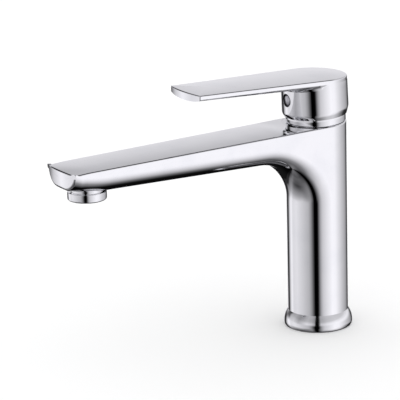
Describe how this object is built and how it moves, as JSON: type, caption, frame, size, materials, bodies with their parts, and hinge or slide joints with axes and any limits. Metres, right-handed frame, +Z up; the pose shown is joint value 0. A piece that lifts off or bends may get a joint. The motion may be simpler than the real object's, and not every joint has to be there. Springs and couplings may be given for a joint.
{
  "type": "basin mixer faucet",
  "caption": "Single-lever basin mixer faucet: straight round column with a flared foot, long flat-topped spout, collar ring, round cap with a flat lever, and an aerator under the tip.",
  "frame": {"origin": "on the column's axis, on the deck that the foot stands on", "axes": "+Z up the column, -Y along the spout (front), +X to the right of someone at the back of the faucet looking along the spout, which is the left of its user"},
  "size_m": [0.0512, 0.2389, 0.1944],
  "materials": {
    "body_chrome": "mirror-polished chrome plate on cast brass",
    "handle_chrome": "mirror-polished chrome plate on cast metal",
    "collar_chrome": "mirror-polished chrome plate",
    "aerator_chrome": "mirror-polished chrome plate",
    "plug_chrome": "dark chrome, polished",
    "nut_brass": "turned brass",
    "stem_brass": "milled brass",
    "stainless_steel": "plain stainless steel",
    "black_rubber": "moulded EPDM rubber",
    "red_seal": "moulded silicone",
    "red_plastic": "moulded plastic",
    "housing_plastic": "moulded acetal",
    "carrier_plastic": "moulded acetal",
    "insert_plastic": "moulded acetal",
    "alumina_ceramic": "lapped alumina"
  },
  "bodies": {
    "body": {"body_casting": "body_chrome", "base_gasket": "black_rubber", "collar_ring": "collar_chrome", "cartridge_nut": "nut_brass", "cartridge_housing": "housing_plastic", "housing_o_ring": "black_rubber", "cartridge_base": "housing_plastic", "hot_port_seal": "red_seal", "cold_port_seal": "red_seal", "fixed_ceramic_disc": "alumina_ceramic", "aerator_housing": "aerator_chrome", "aerator_insert": "insert_plastic", "aerator_screen": "stainless_steel", "flow_regulator": "red_seal", "aerator_washer": "black_rubber"},
    "turning_core": {"stem_carrier": "carrier_plastic", "pivot_pin": "stainless_steel", "hot_limit_ring": "red_plastic"},
    "disc_slider": {"disc_carrier": "carrier_plastic", "moving_ceramic_disc": "alumina_ceramic"},
    "lever": {"stem": "stem_brass", "handle": "handle_chrome", "set_screw": "stainless_steel", "index_plug": "plug_chrome"}
  },
  "joints": [
    {"name": "temperature_turn", "type": "hinge", "parent": "body", "child": "turning_core", "pos_m": [0, 0, 0.1564], "axis": [0, -0.0401, 0.9992], "range_deg": [-50, 50]},
    {"name": "lever_lift", "type": "hinge", "parent": "turning_core", "child": "lever", "pos_m": [0, -0.00003, 0.1571], "axis": [-1, 0, 0], "range_deg": [0, 25]},
    {"name": "disc_slide", "type": "slide", "parent": "turning_core", "child": "disc_slider", "axis": [0, -0.9992, -0.0401], "range_m": [0, 0.0053]}
  ],
  "couplings": [
    {"joint": "disc_slide", "follows": "lever_lift", "m_per_rad": 0.0119}
  ]
}
